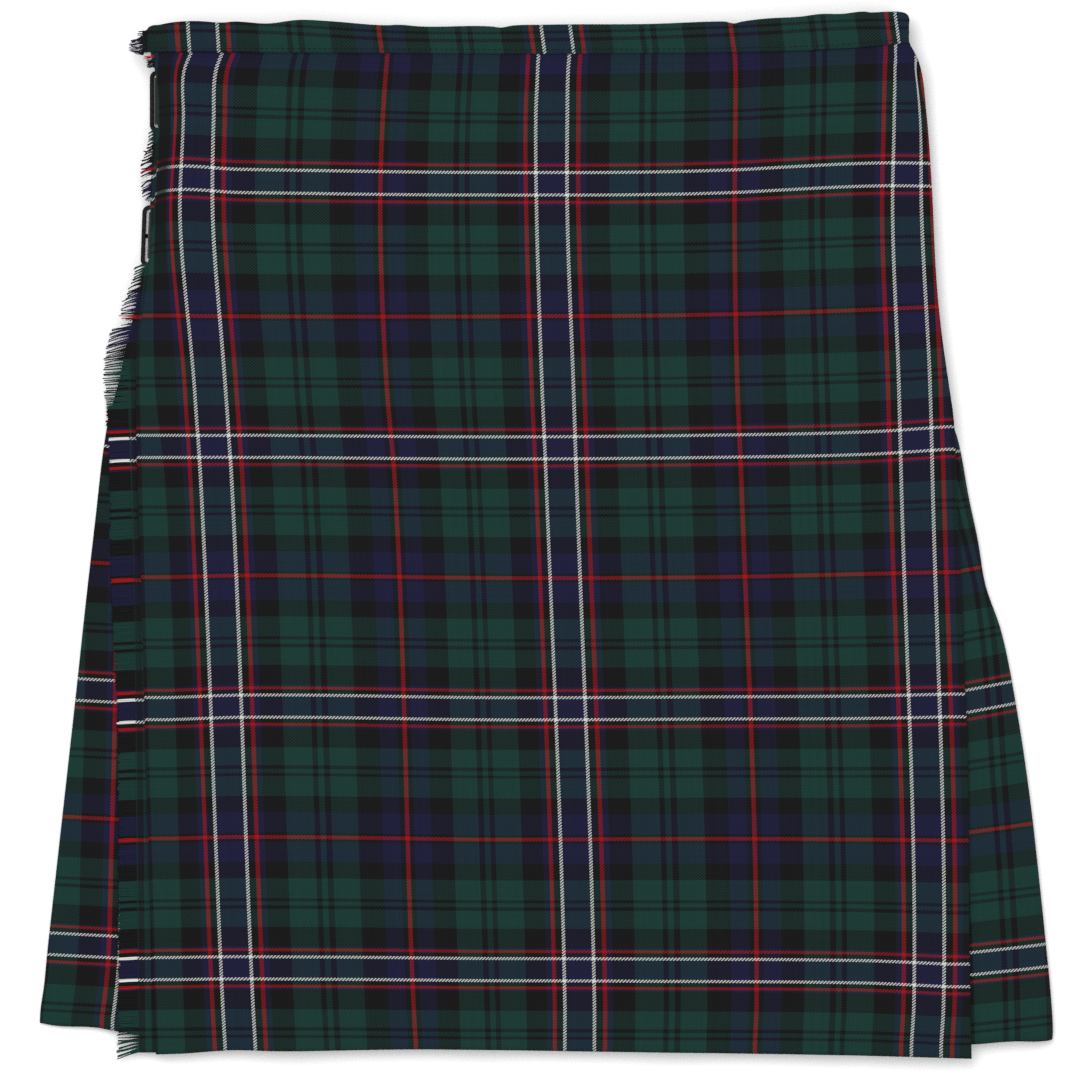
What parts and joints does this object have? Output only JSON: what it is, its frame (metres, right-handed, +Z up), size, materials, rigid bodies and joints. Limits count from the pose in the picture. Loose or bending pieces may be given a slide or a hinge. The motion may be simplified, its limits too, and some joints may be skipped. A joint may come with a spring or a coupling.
{
  "type": "scottish kilt laid flat",
  "caption": "Tartan kilt lying flat on its pleated back, fringed over apron on top, with narrow waistband and two leather straps buckled at the wearer's right side.",
  "frame": {"origin": "on the floor under the middle of the bounding box", "axes": "+X towards the wearer's left, +Y up the garment towards the waist, +Z up from the floor towards the front of the aprons"},
  "size_m": [0.5977, 0.6163, 0.0205],
  "materials": {
    "tartan_wool": "twill weave, matt",
    "fringe_wool": "loose threads, matt",
    "black_leather": "smooth, satin",
    "buckle_steel": "black enamel, glossy"
  },
  "bodies": {
    "root": {"pleated_back": "tartan_wool", "under_apron": "tartan_wool", "left_side": "tartan_wool", "over_apron": "tartan_wool", "waistband_front": "tartan_wool", "waistband_under": "tartan_wool", "waistband_back": "tartan_wool", "apron_fringe": "fringe_wool", "band_fringe": "fringe_wool", "strap_waist": "black_leather", "strap_hip": "black_leather", "chape_waist": "black_leather", "chape_hip": "black_leather", "buckle_waist": "buckle_steel", "buckle_hip": "buckle_steel", "prong_waist": "buckle_steel", "prong_hip": "buckle_steel"}
  },
  "joints": []
}
